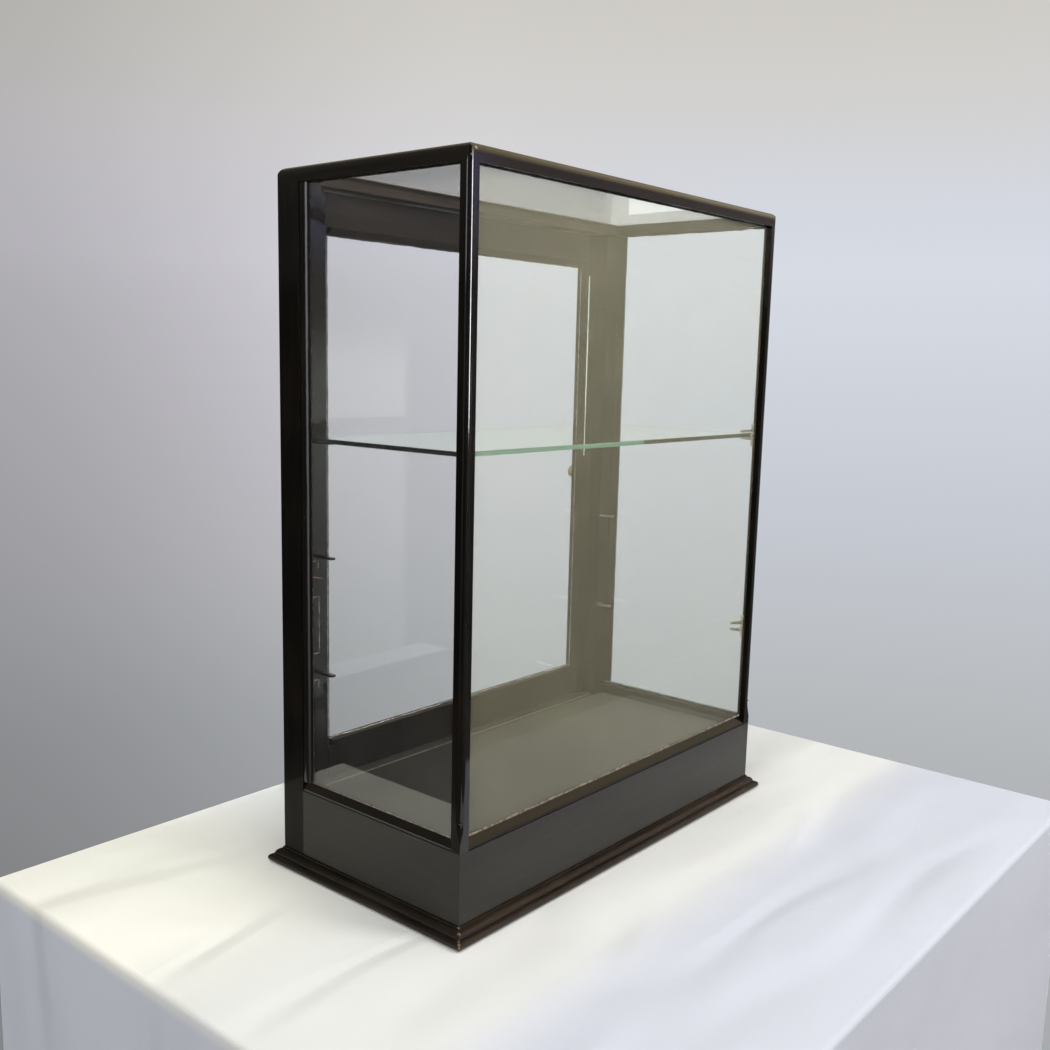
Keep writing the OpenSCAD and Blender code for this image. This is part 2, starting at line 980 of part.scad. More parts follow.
module knuckle(z0, z1) {
    translate([hinge_x, hinge_y, z0]) difference() {
        cylinder(h = z1 - z0, r = barrel_r);
        translate([0, 0, -cut]) cylinder(h = z1 - z0 + 2 * cut, r = pin_r + pin_fit);
    }
}

module leaf(side, z0, z1) {
    x0 = side < 0 ? -w + rear_post_w - leaf_t : -door_x;
    difference() {
        block([x0, leaf_y, z0], [x0 + leaf_t, hinge_y, z1]);
        translate([hinge_x, hinge_y, z0 - cut]) cylinder(h = z1 - z0 + 2 * cut, r = pin_r + pin_fit);
    }
}

module hinge_leaves_case() {
    third = hinge_h / 3;
    color(brass) difference() {
        for (z = hinge_zs) {
            z0 = z - hinge_h / 2;
            union() {
                leaf(-1, z0, z0 + hinge_h);
                knuckle(z0, z0 + third);
                knuckle(z0 + 2 * third, z0 + hinge_h);
            }
        }
        for (z = hinge_zs) {
            translate([hinge_x, hinge_y, z - third / 2 - knuckle_gap])
                cylinder(h = third + 2 * knuckle_gap, r = barrel_r + 0.4);
        }
        hinge_screw_set(-1, leaf_fit);
    }
}

module hinge_leaves_door() {
    third = hinge_h / 3;
    color(brass) difference() {
        for (z = hinge_zs) {
            z0 = z - hinge_h / 2;
            union() {
                leaf(1, z0, z0 + hinge_h);
                knuckle(z0 + third + knuckle_gap / 2, z0 + 2 * third - knuckle_gap / 2);
            }
        }
        for (z = hinge_zs, s = [-1, 1]) {
            translate([hinge_x, hinge_y, z + s * third]) {
                cylinder(h = third + knuckle_gap, r = barrel_r + 0.4, center = true);
            }
        }
        hinge_screw_set(1, leaf_fit);
    }
}

module hinge_pins() {
    color(brass) for (z = hinge_zs) {
        translate([hinge_x, hinge_y, z - hinge_h / 2]) {
            cylinder(h = hinge_h, r = pin_r);
            translate([0, 0, -1]) cylinder(h = 1, r = barrel_r * 0.8);
            translate([0, 0, hinge_h]) cylinder(h = 1, r = barrel_r * 0.8);
        }
    }
}

module hinge_screws_case() {
    color(brass) hinge_screw_set(-1);
}

module hinge_screws_door() {
    color(brass) hinge_screw_set(1);
}

// Catch: a knob turns a cam inside a case let into the stile, and the cam moves the bolt
module catch_case() {
    color(brass) difference() {
        block([case_x0, catch_y - case_y, knob_z - case_h0], [door_x, catch_y + case_y, knob_z + case_h1]);
        block(
            [case_x0 + case_wall, catch_y - bolt_t / 2 - case_fit, knob_z - bolt_h[0] - case_fit],
            [door_x - case_wall, catch_y + bolt_t / 2 + case_fit, knob_z + bolt_h[1] + case_fit]
        );
        block(
            [door_x - 2 * case_wall, catch_y - bolt_t / 2 - case_fit, knob_z - nose_h / 2 - case_fit],
            [door_x + cut, catch_y + bolt_t / 2 + case_fit, knob_z + nose_h / 2 + case_fit]
        );
        translate([catch_x, catch_y, knob_z]) rotate([-90, 0, 0]) {
            cylinder(h = door_t, r = spindle_r + spindle_fit);
        }
    }
}

module catch_bolt() {
    y0 = catch_y - bolt_t / 2;
    y1 = catch_y + bolt_t / 2;
    color(brass) translate([catch_x, 0, knob_z]) difference() {
        union() {
            block([-bolt_back, y0, -bolt_h[0]], [window_in + bolt_rim, y1, bolt_h[1]]);
            block([0, y0, -nose_h / 2], [bolt_front, y1, nose_h / 2]);
        }
        block([-window_out, y0 - cut, -window_h[0]], [window_in, y1 + cut, window_h[1]]);
    }
}

module catch_knob() {
    color(brass) translate([catch_x, 0, knob_z]) {
        // spindle and cam
        translate([0, catch_y - bolt_t / 2, 0]) rotate([-90, 0, 0]) {
            cylinder(h = d - catch_y + bolt_t / 2 + rose_t + knob_fit + 1, r = spindle_r);
        }
        block([-1, catch_y - bolt_t / 2, -cam_l], [1, catch_y + bolt_t / 2, 0]);
        translate([0, d + rose_t + knob_fit, 0]) rotate([-90, 0, 0]) {
            knob_turning(knob_out - rose_t - knob_fit);
        }
    }
}

// Turned knob: a flared foot, a neck and a flattened ball
module knob_turning(reach) {
    ball_h = 0.62 * reach;
    rotate_extrude() {
        intersection() {
            union() {
                square([knob_r * 0.62, reach * 0.14]);
                square([knob_r * 0.42, reach * 0.6]);
                translate([0, reach - ball_h / 2]) knob_head(ball_h);
            }
            square([knob_r, reach]);
        }
    }
}

module knob_head(ball_h) {
    r = ball_h / 2;
    translate([knob_r - r, 0]) circle(r);
    translate([0, -r]) square([knob_r - r, 2 * r]);
}

module catch_rose() {
    color(brass) translate([catch_x, d, knob_z]) rotate([-90, 0, 0]) rotate_extrude() difference() {
        union() {
            square([rose_r, rose_t * 0.5]);
            square([rose_r * 0.8, rose_t]);
        }
        translate([0, -cut]) square([spindle_r + spindle_fit, rose_t + 2 * cut]);
    }
}

module strike_plate() {
    x0 = w - rear_post_w;
    color(brass) difference() {
        block(
            [x0, catch_y - strike_w / 2, knob_z - strike_h / 2],
            [x0 + strike_t, catch_y + strike_w / 2, knob_z + strike_h / 2]
        );
        block(
            [x0 - cut, catch_y - bolt_t / 2 - 0.6, knob_z - nose_h / 2 - 0.6],
            [x0 + strike_t + cut, catch_y + bolt_t / 2 + 0.6, knob_z + nose_h / 2 + 0.6]
        );
        strike_screw_set(leaf_fit);
    }
}

module strike_screw_set(fit = 0) {
    for (s = [-1, 1]) {
        translate([w - rear_post_w, catch_y, knob_z + s * strike_screw_at]) rotate([0, -90, 0])
            screw(hinge_screw_r + fit, hinge_screw_head_r + fit, hinge_screw_l + fit);
    }
}

module strike_screws() {
    color(brass) strike_screw_set();
}

plinth_front();
plinth_left();
plinth_right();
plinth_rear();
corner_blocks();
floor_battens();
base_moulding_front();
base_moulding_left();
base_moulding_right();
base_moulding_rear();
floor_panel();
rear_sill();
bottom_rail_front();
bottom_rail_left();
bottom_rail_right();
bottom_bead_front();
bottom_bead_left();
bottom_bead_right();
side_bead_left();
side_bead_right();
front_post_left();
front_post_right();
rear_post_left();
rear_post_right();
top_rail_front();
top_rail_left();
top_rail_right();
rear_header();
header_bead_strip();
frame_dowels();
front_pane();
left_pane();
right_pane();
top_pane();
glass_shelf();
upper_brackets();
lower_brackets();
bracket_screws();
rear_shelf_tongues();
hinge_leaves_case();
hinge_pins();
hinge_screws_case();
strike_plate();
strike_screws();
door_stile_hinge();
door_stile_catch();
door_rail_top();
door_rail_bottom();
door_pane();
door_beads_upright();
door_beads_level();
hinge_leaves_door();
hinge_screws_door();
catch_case();
catch_rose();
catch_bolt();
catch_knob();
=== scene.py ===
"""Looks of a countertop display case: dark varnished frame, old panes, glass shelf on worn metal supports."""

import math
import random

import bmesh
import bpy
from mathutils import Matrix, Vector


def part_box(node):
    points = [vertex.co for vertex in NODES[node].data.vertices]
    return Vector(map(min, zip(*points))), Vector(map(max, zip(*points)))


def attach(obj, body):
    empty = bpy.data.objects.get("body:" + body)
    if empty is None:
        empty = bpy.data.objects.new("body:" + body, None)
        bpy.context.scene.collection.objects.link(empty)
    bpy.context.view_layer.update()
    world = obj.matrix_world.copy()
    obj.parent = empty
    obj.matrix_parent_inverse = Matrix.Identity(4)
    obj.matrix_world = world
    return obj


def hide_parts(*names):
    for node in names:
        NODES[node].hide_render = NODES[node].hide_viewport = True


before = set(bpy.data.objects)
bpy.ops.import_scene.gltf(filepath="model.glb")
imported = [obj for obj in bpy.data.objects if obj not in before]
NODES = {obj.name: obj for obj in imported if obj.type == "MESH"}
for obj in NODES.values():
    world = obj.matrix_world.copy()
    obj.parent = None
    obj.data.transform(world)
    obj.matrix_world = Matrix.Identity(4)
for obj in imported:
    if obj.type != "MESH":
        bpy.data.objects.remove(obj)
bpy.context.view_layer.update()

# Camera, fitted to the straight edges in the photograph: radians, metres, millimetres and pixels

YAW, PITCH, ROLL = 0.69637, 0.16167, -0.02461
EYE = Vector((-1.06078, -0.86245, 0.58499))
LENS, SENSOR = 38.377, 36
FRAME_PIXELS = 1050
SHIFT_RIGHT, SHIFT_UP = -3, 18
NEAREST, FARTHEST = 0.05, 50

scene = bpy.context.scene
scene.view_settings.view_transform = "Standard"


def make_camera():
    fwd = Vector((math.cos(PITCH) * math.cos(YAW), math.cos(PITCH) * math.sin(YAW), -math.sin(PITCH)))
    right = Vector((math.sin(YAW), -math.cos(YAW), 0.0))
    down = fwd.cross(right)
    rolled_right = math.cos(ROLL) * right + math.sin(ROLL) * down
    rolled_down = -math.sin(ROLL) * right + math.cos(ROLL) * down
    cam = bpy.data.objects.new("camera", bpy.data.cameras.new("camera"))
    scene.collection.objects.link(cam)
    m = Matrix((rolled_right, -rolled_down, -fwd)).transposed().to_4x4()
    m.translation = EYE
    cam.matrix_world = m
    cam.data.lens = LENS
    cam.data.sensor_width = SENSOR
    cam.data.shift_x = SHIFT_RIGHT / FRAME_PIXELS
    cam.data.shift_y = SHIFT_UP / FRAME_PIXELS
    cam.data.clip_start = NEAREST
    cam.data.clip_end = FARTHEST
    scene.camera = cam


make_camera()


# Node helpers


class Tree:
    """Short calls for building a node tree."""

    def __init__(self, owner):
        owner.use_nodes = True
        self.t = owner.node_tree
        self.t.nodes.clear()

    def add(self, kind, **props):
        n = self.t.nodes.new(kind)
        inputs = props.pop("inputs", {})
        for k, v in props.items():
            setattr(n, k, v)
        for k, v in inputs.items():
            if isinstance(v, bpy.types.NodeSocket):
                self.t.links.new(v, n.inputs[k])
            else:
                n.inputs[k].default_value = v
        return n

    def math(self, op, a, b=0.0, clamp=False):
        n = self.add("ShaderNodeMath", operation=op, use_clamp=clamp, inputs={0: a, 1: b})
        return n.outputs[0]

    def times(self, a, b):
        return self.math("MULTIPLY", a, b)

    def plus(self, a, b, clamp=False):
        return self.math("ADD", a, b, clamp)

    def minus(self, a, b, clamp=False):
        return self.math("SUBTRACT", a, b, clamp)

    def larger(self, a, b):
        return self.math("MAXIMUM", a, b)

    def ramp(self, fac, lo, hi, a=0.0, b=1.0):
        n = self.add("ShaderNodeMapRange", inputs={0: fac, 1: lo, 2: hi, 3: a, 4: b})
        n.interpolation_type = "SMOOTHSTEP"
        return n.outputs[0]

    def line(self, fac, lo, hi, a=0.0, b=1.0):
        return self.add("ShaderNodeMapRange", inputs={0: fac, 1: lo, 2: hi, 3: a, 4: b}).outputs[0]

    def mix(self, fac, a, b):
        n = self.add("ShaderNodeMix", data_type="RGBA", inputs={0: fac, 6: a, 7: b})
        return n.outputs[2]

    def noise(self, vec, scale, detail=4.0, rough=0.55, w=0.0):
        n = self.add("ShaderNodeTexNoise", noise_dimensions="4D",
                     inputs={"Vector": vec, "Scale": scale, "Detail": detail, "Roughness": rough, "W": w})
        return n.outputs[0]

    def coords(self, scale=(1, 1, 1)):
        tc = self.add("ShaderNodeTexCoord")
        return self.add("ShaderNodeMapping", inputs={0: tc.outputs["Object"], 3: scale}).outputs[0]

    def xyz(self, vec):
        return self.add("ShaderNodeSeparateXYZ", inputs={0: vec}).outputs

    def dot(self, a, b):
        return self.add("ShaderNodeVectorMath", operation="DOT_PRODUCT", inputs={0: a, 1: b}).outputs["Value"]

    def bump(self, strength, distance, height, **more):
        inputs = {"Strength": strength, "Distance": distance, "Height": height, **more}
        return self.add("ShaderNodeBump", inputs=inputs).outputs[0]

    def principled(self, **named):
        """A Principled shader; a socket's name is written with _ for each space."""
        inputs = {k.replace("_", " "): v for k, v in named.items()}
        return self.add("ShaderNodeBsdfPrincipled", inputs=inputs).outputs[0]

    def blend(self, fac, a, b):
        return self.add("ShaderNodeMixShader", inputs={0: fac, 1: a, 2: b}).outputs[0]

    def out(self, surface, volume=None):
        o = self.add("ShaderNodeOutputMaterial", inputs={0: surface})
        if volume is not None:
            self.t.links.new(volume, o.inputs[1])


def rgb(r, g, b):
    return (r, g, b, 1.0)


# Grain runs along an axis, so its pattern is drawn out that way
STRETCH = {"x": (0.05, 1, 1), "y": (1, 0.05, 1), "z": (1, 1, 0.05)}
BARE = rgb(0.30, 0.17, 0.08)
PALE = rgb(0.36, 0.32, 0.27)
DUSTY = rgb(0.42, 0.38, 0.32)
ARRIS_REACH = 0.0016
WOOD_RELIEF = 0.0005
WAVER = 0.8


def near_spots(t, pos, spots):
    """1 inside any of the given (point, radius) spots, with a ragged edge."""
    ragged = t.noise(pos, 420, 3)
    total = None
    for point, radius in spots:
        away = t.add("ShaderNodeVectorMath", operation="DISTANCE", inputs={0: pos, 1: point}).outputs["Value"]
        wobble = t.math("MULTIPLY_ADD", ragged, radius * 2 * WAVER)
        wobble.node.inputs[2].default_value = -radius * WAVER
        inside = t.ramp(t.plus(away, wobble), radius * 1.05, radius * 0.8)
        total = inside if total is None else t.larger(total, inside)
    return total


def varnished(name, axis, dark=(0.0020, 0.0014, 0.0008), light=(0.0085, 0.0058, 0.0030), rough=0.45, coat=1.0,
              coat_rough=0.07, specular=0.06, wear=0.5, dust=0.3, spots=(), chip=None, bumps=0.4,
              dull_left=0.0, painted_light_tone=None, w=0.0):
    """Dark stained wood under varnish; wear rubs its arrises, spots chip it, and a given lighter tone is painted
    over one part as painted light.

    w shifts every noise, so that each wood has a pattern of its own.
    """
    mat = bpy.data.materials.new(name)
    t = Tree(mat)
    pos = t.coords()
    grain = t.noise(t.coords(STRETCH[axis]), 190, 6, 0.65, w)
    cloud = t.noise(pos, 9, 3, 0.5, w + 3)
    tone = t.plus(t.ramp(grain, 0.42, 0.72, 0, 0.6), t.ramp(cloud, 0.4, 0.75, 0, 0.45), clamp=True)
    colour = t.mix(tone, rgb(*dark), rgb(*light))

    if painted_light_tone:
        # Painted light: the part away from the front left corner is painted lighter, as if more light and sheen fell
        # on it there
        x, y, _ = t.xyz(pos)
        painted_lit_part = t.ramp(t.minus(x, t.times(y, 0.9)), -0.17, -0.08)
        painted_lit_part = t.times(painted_lit_part, t.ramp(x, 0.0, 0.22, 0.52, 0.85))
        colour = t.mix(painted_lit_part, colour, rgb(*painted_light_tone))

    # Arrises rubbed through the varnish
    bevel = t.add("ShaderNodeBevel", samples=4, inputs={0: ARRIS_REACH})
    geo = t.add("ShaderNodeNewGeometry")
    edge = t.ramp(t.dot(bevel.outputs[0], geo.outputs["Normal"]), 0.985, 0.86)
    patchy = t.ramp(t.noise(pos, 38, 5, 0.7, w + 7), 0.74 - 0.16 * wear, 0.80 - 0.16 * wear)
    worn = t.times(edge, patchy)
    colour = t.mix(t.times(worn, 0.75), colour, BARE)
    if spots:
        chips = near_spots(t, pos, spots)
        colour = t.mix(t.times(chips, 0.8), colour, chip or PALE)
        worn = t.larger(worn, chips)

    # Dust and small pale nicks
    fleck = t.times(t.ramp(t.noise(pos, 700, 2, 0.5, w + 11), 0.735, 0.76),
                    t.ramp(t.noise(pos, 20, 2, 0.5, w + 12), 0.5, 0.7))
    colour = t.mix(t.times(fleck, dust), colour, DUSTY)

    # Brush drag, orange peel and dents
    drag = t.noise(t.coords(STRETCH[axis]), 620, 3, 0.5, w + 15)
    peel = t.noise(pos, 240, 3, 0.5, w + 17)
    dent = t.noise(pos, 34, 2, 0.45, w + 19)
    height = t.plus(t.times(drag, 0.25), t.times(peel, 0.25))
    height = t.plus(height, dent)
    height = t.minus(height, t.times(worn, 0.25))
    bump = t.bump(bumps, WOOD_RELIEF, height)
    rough_now = t.plus(t.ramp(cloud, 0.35, 0.7, rough - 0.06, rough + 0.08), t.times(worn, 0.3), clamp=True)

    # Faces that look up or down are duller than upright ones
    nx, _, nz = t.xyz(geo.outputs["Normal"])
    gloss = t.minus(1.0, worn, clamp=True)
    gloss = t.times(gloss, t.ramp(nz, 0.55, 0.85, 1.0, 0.2))
    gloss = t.times(gloss, t.ramp(nz, -0.6, -0.9, 1.0, 0.1))
    if dull_left:
        # Faces that look left are dull below the top
        z = t.xyz(pos)[2]
        rubbed = t.times(t.ramp(nx, -0.70, -0.85), t.ramp(z, 0.68, 0.64))
        gloss = t.times(gloss, t.minus(1.0, t.times(rubbed, dull_left)))
    t.out(t.principled(Base_Color=colour, Roughness=rough_now, IOR=1.5, Normal=bump, Specular_IOR_Level=specular,
                       Coat_Weight=t.times(gloss, coat), Coat_Roughness=coat_rough, Coat_Normal=bump))
    return mat


def plain_wood(name, axis, dark, light, rough=0.7, w=0.0):
    """Bare wood with its grain along an axis."""
    mat = bpy.data.materials.new(name)
    t = Tree(mat)
    pos = t.coords()
    grain = t.noise(t.coords(STRETCH[axis]), 150, 6, 0.6, w)
    lines = t.ramp(t.noise(t.coords(STRETCH[axis]), 420, 2, 0.5, w + 5), 0.56, 0.68)
    stain = t.noise(pos, 14, 4, 0.6, w + 9)
    tone = t.plus(t.ramp(grain, 0.35, 0.7, 0, 0.8), t.ramp(stain, 0.4, 0.7, 0, 0.3), clamp=True)
    colour = t.mix(tone, rgb(*dark), rgb(*light))
    colour = t.mix(t.times(lines, 0.35), colour, rgb(*[c * 0.45 for c in dark]))
    t.out(t.principled(Base_Color=colour, Roughness=t.ramp(stain, 0.3, 0.7, rough - 0.1, rough + 0.12),
                       Normal=t.bump(0.6, WOOD_RELIEF, t.minus(grain, lines))))
    return mat


# Across the top pane, square to the line where its dust ends
ACROSS_TOP = (0.591, -0.807, 0)


def glass(name, tint, grime=0.5, w=0.0, absorb=None, haze=0.0, haze_colour=(0.55, 0.53, 0.47), ior=1.5,
          dusty=0.0):
    """Clear glass with a little grime; light passes straight through it for shadows.

    haze is a film that thickens upwards, dusty is dust that lies on the part away from the front left corner.
    """
    mat = bpy.data.materials.new(name)
    t = Tree(mat)
    pos = t.coords()
    clean = t.principled(Base_Color=rgb(*tint), Transmission_Weight=1.0, Roughness=0.0, IOR=ior,
                         Normal=t.bump(0.05, 0.001, t.noise(pos, 5, 1, 0.4, w + 2)))
    cloud = t.noise(pos, 7, 5, 0.7, w)
    film = t.times(t.ramp(cloud, 0.42, 0.75, 0.004, 0.03), grime)
    if haze:
        z = t.xyz(pos)[2]
        thick = t.times(t.line(z, 0.1, 0.7, 0.58, 1.09), t.line(cloud, 0.25, 0.75, 0.88, 1.12))
        film = t.plus(film, t.times(thick, haze))
    specks = t.times(t.ramp(t.noise(pos, 900, 1, 0.5, w + 6), 0.78, 0.80), 0.6 * grime)
    dirt = t.add("ShaderNodeBsdfDiffuse", inputs={0: rgb(*haze_colour)}).outputs[0]
    soiled = t.blend(t.larger(film, specks), clean, dirt)
    if dusty:
        lit_through = t.add("ShaderNodeBsdfTranslucent", inputs={0: rgb(0.86, 0.87, 0.86)}).outputs[0]
        swept = t.ramp(t.dot(pos, ACROSS_TOP), 0.056, 0.080, 0.28, 1.0)
        lying = t.times(swept, t.ramp(t.xyz(pos)[0], -0.2, -0.1, 0.1, 1.0))
        lying = t.times(lying, t.line(cloud, 0.3, 0.7, 0.85 * dusty, 1.1 * dusty))
        soiled = t.blend(lying, soiled, lit_through)
    clear = t.add("ShaderNodeBsdfTransparent", inputs={0: rgb(*[0.9 * c for c in tint])}).outputs[0]
    both = t.blend(t.add("ShaderNodeLightPath").outputs["Is Shadow Ray"], soiled, clear)
    volume = None
    if absorb:
        volume = t.add("ShaderNodeVolumeAbsorption", inputs={0: rgb(*absorb[:3]), 1: absorb[3]}).outputs[0]
    t.out(both, volume)
    return mat


def metal(name, clean, dull, rough=0.3, tarnish=0.5, painted_shade_left=0.0, w=0.0):
    """Plated or solid metal with patches of tarnish; a left share paints what lies left of the middle nearly black,
    as painted shade.
    """
    mat = bpy.data.materials.new(name)
    t = Tree(mat)
    pos = t.coords()
    cloud = t.noise(pos, 120, 5, 0.65, w)
    spots = t.ramp(t.noise(pos, 520, 3, 0.6, w + 4), 0.6, 0.7)
    fade = t.larger(t.ramp(cloud, 0.62 - 0.2 * tarnish, 0.85 - 0.2 * tarnish), t.times(spots, 0.6))
    bump = t.bump(0.35, 0.0002, t.noise(pos, 900, 3, 0.5, w + 8))
    colour = t.mix(fade, rgb(*clean), rgb(*dull))
    if painted_shade_left:
        # Painted shade: what lies left of the middle is painted nearly black
        x = t.xyz(pos)[0]
        colour = t.mix(t.ramp(x, 0.01, -0.01, 0, painted_shade_left), colour, rgb(0.030, 0.024, 0.018))
    t.out(t.principled(Base_Color=colour, Metallic=1.0, Roughness=t.ramp(fade, 0, 1, rough, rough + 0.3),
                       Normal=bump))
    return mat


def corner_spots(*spots):
    """(point, radius) of spots given as (right, back, height, radius) from the near corner's upright."""
    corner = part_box("front_post_left")[0]
    return [((corner[0] + right, corner[1] + back, z), radius) for right, back, z, radius in spots]


NEAR_CHIPS = corner_spots((0, 0.003, 0.186, 0.0011), (0, 0.001, 0.126, 0.0014), (0.002, 0.002, 0.110, 0.0011))
CORNER_CHIPS = corner_spots((0.008, 0, 0.775, 0.0020), (0.003, 0.002, 0.768, 0.0012))
MITRE_WEAR = corner_spots(*[(-o, -o, z, 0.0017) for o, z in (
    (0.001, 0.018), (0.005, 0.014), (0.009, 0.010), (0.012, 0.008), (0.0135, 0.005))])
MITRE_PALE = rgb(0.24, 0.15, 0.09)

M = {
    "wood_x": varnished("varnish_along_x", "x", spots=CORNER_CHIPS, w=1),
    "wood_y": varnished("varnish_along_y", "y", spots=CORNER_CHIPS, w=2),
    "wood_z": varnished("varnish_along_z", "z", spots=NEAR_CHIPS, coat_rough=0.03, bumps=0.2, dull_left=0.85, w=3),
    "low_rail": varnished("low_rail_stain", "x", coat=0.35, wear=0.1, dust=0.2, w=29),
    "front_bead": varnished("bead_along_x", "x", coat=0.6, dust=0.5, w=28),
    "bead": varnished("bead_along_z", "z", dust=0.9, wear=0.7, w=26),
    # Painted sheen: plinth and moulding pieces along x, at the front and rear, are painted lighter than those along
    # y at the sides
    "plinth_x": varnished("satin_along_x", "x", dark=(0.0050, 0.0038, 0.0016), light=(0.0140, 0.0105, 0.0045),
                          coat=0.70, coat_rough=0.16, wear=0.12, w=21),
    "plinth_y": varnished("satin_along_y", "y", dark=(0.0040, 0.0034, 0.0012), light=(0.0105, 0.0084, 0.0030),
                          coat=0.62, coat_rough=0.16, wear=0.12, w=22),
    # Painted sheen here too: the moulding along x is painted lighter than the moulding along y
    "moulding_x": varnished("moulding_along_x", "x", dark=(0.0080, 0.0050, 0.0030), light=(0.0300, 0.0200, 0.0130),
                            coat=0.5, coat_rough=0.30, wear=0.6, spots=MITRE_WEAR, chip=MITRE_PALE, w=23),
    "moulding_y": varnished("moulding_along_y", "y", dark=(0.0060, 0.0045, 0.0030), light=(0.0220, 0.0160, 0.0100),
                            coat=0.5, coat_rough=0.30, wear=0.6, spots=MITRE_WEAR, chip=MITRE_PALE, w=24),
    "header": varnished("header_stain", "x", dark=(0.0140, 0.0080, 0.0055), light=(0.0400, 0.0250, 0.0180),
                        coat=0.6, coat_rough=0.32, wear=0.1, dust=0.2, w=25),
    "door_rail": varnished("door_rail_stain", "x", dark=(0.0080, 0.0048, 0.0034), light=(0.0240, 0.0152, 0.0110),
                           coat=0.55, coat_rough=0.30, wear=0.1, dust=0.2, w=27),
    # Painted light: the floor's lighter part away from the front left corner
    "floor": varnished("floor_stain_and_painted_light", "x", dark=(0.009, 0.0076, 0.0056), light=(0.016, 0.0136, 0.0098), rough=0.66,
                       coat=0.0, specular=0.08, wear=0.1, dust=0.5,
                       painted_light_tone=(0.060, 0.054, 0.040), w=4),
    "sill": varnished("sill_stain", "x", dark=(0.014, 0.012, 0.009), light=(0.024, 0.020, 0.015), rough=0.66,
                      coat=0.0, specular=0.08, wear=0.1, dust=0.5, w=5),
    "bare": plain_wood("bare_pine", "x", (0.30, 0.19, 0.10), (0.48, 0.33, 0.19), w=6),
    "pane": glass("pane_glass", (0.975, 0.985, 0.98), w=7),
    "front": glass("front_glass", (0.945, 0.985, 0.985), w=13, haze=0.066, haze_colour=(0.80, 0.735, 0.50),
                   ior=1.15),
    "top": glass("top_glass", (0.975, 0.985, 0.98), grime=0.6, w=8, dusty=0.25),
    "shelf": glass("shelf_glass", (0.98, 0.99, 0.985), grime=0.6, w=9, absorb=(0.16, 0.60, 0.40, 7.0)),
    "nickel": metal("worn_nickel", (0.66, 0.62, 0.52), (0.34, 0.29, 0.19), 0.26, 0.5, w=10),
    # The left tongues are painted nearly black, as painted shade
    "tongue": metal("tarnished_nickel_painted_shade_left", (0.66, 0.62, 0.52), (0.34, 0.29, 0.19), 0.3, 0.5, painted_shade_left=0.95, w=14),
    "brass": metal("aged_brass", (0.58, 0.44, 0.21), (0.23, 0.15, 0.07), 0.3, 0.8, w=11),
}

USES = {
    "front_bead": ["bottom_bead_front"],
    "wood_x": ["bottom_rail_front", "top_rail_front", "door_beads_level"],
    "wood_y": ["bottom_rail_left", "bottom_rail_right", "bottom_bead_left", "bottom_bead_right", "top_rail_left",
               "top_rail_right"],
    "plinth_x": ["plinth_front", "plinth_rear"],
    "plinth_y": ["plinth_left", "plinth_right"],
    "moulding_x": ["base_moulding_front", "base_moulding_rear"],
    "moulding_y": ["base_moulding_left", "base_moulding_right"],
    "header": ["rear_header", "header_bead_strip"],
    "door_rail": ["door_rail_top"],
    "low_rail": ["door_rail_bottom"],
    "wood_z": ["front_post_left", "front_post_right", "rear_post_left", "rear_post_right", "door_stile_hinge",
               "door_stile_catch", "door_beads_upright"],
    "bead": ["side_bead_left", "side_bead_right"],
    "floor": ["floor_panel"],
    "sill": ["rear_sill"],
    "bare": ["corner_blocks", "floor_battens", "frame_dowels"],
    "pane": ["left_pane", "right_pane", "door_pane"],
    "front": ["front_pane"],
    "top": ["top_pane"],
    "shelf": ["glass_shelf"],
    "nickel": ["upper_brackets", "lower_brackets", "bracket_screws"],
    "tongue": ["rear_shelf_tongues"],
    "brass": ["hinge_leaves_case", "hinge_pins", "hinge_screws_case", "strike_plate", "strike_screws",
              "hinge_leaves_door", "hinge_screws_door", "catch_case", "catch_rose", "catch_bolt", "catch_knob"],
}

# Pieces with softened edges, and screws that get slots: their body, material and seed
WOODEN = ("wood_x", "wood_y", "wood_z", "bead", "front_bead", "plinth_x", "plinth_y", "moulding_x", "moulding_y",
          "header", "door_rail", "low_rail")
EDGE_WIDTHS = {**{key: 0.0005 for key in WOODEN}, "nickel": 0.0003, "tongue": 0.0003, "shelf": 0.0004}
SLOTTED = {"bracket_screws": ("case", "nickel", 71), "hinge_screws_case": ("case", "brass", 72),
           "hinge_screws_door": ("rear_door", "brass", 73), "strike_screws": ("case", "brass", 74)}


def daub(name, pale, dark, rough, share, w):
    """Old paint or putty, also pale marks and a painted highlight: patchy, lumpy and dull."""
    mat = bpy.data.materials.new(name)
    t = Tree(mat)
    pos = t.coords()
    patches = t.noise(pos, 150, 5, 0.7, w)
    lumps = t.noise(pos, 600, 3, 0.6, w + 2)
    colour = t.mix(t.ramp(patches, share - 0.06, share + 0.06), rgb(*pale), rgb(*dark))
    t.out(t.principled(Base_Color=colour, Roughness=t.ramp(lumps, 0.3, 0.7, rough - 0.1, rough + 0.15),
                       Normal=t.bump(0.8, 0.0003, lumps)))
    return mat


PAINT = daub("old_paint", (0.10, 0.075, 0.055), (0.012, 0.009, 0.006), 0.6, 0.42, 31)
PUTTY = daub("pale_putty", (0.30, 0.25, 0.21), (0.09, 0.07, 0.055), 0.8, 0.50, 32)
RUST = daub("rust_mark", (0.22, 0.11, 0.05), (0.07, 0.035, 0.018), 0.8, 0.5, 33)
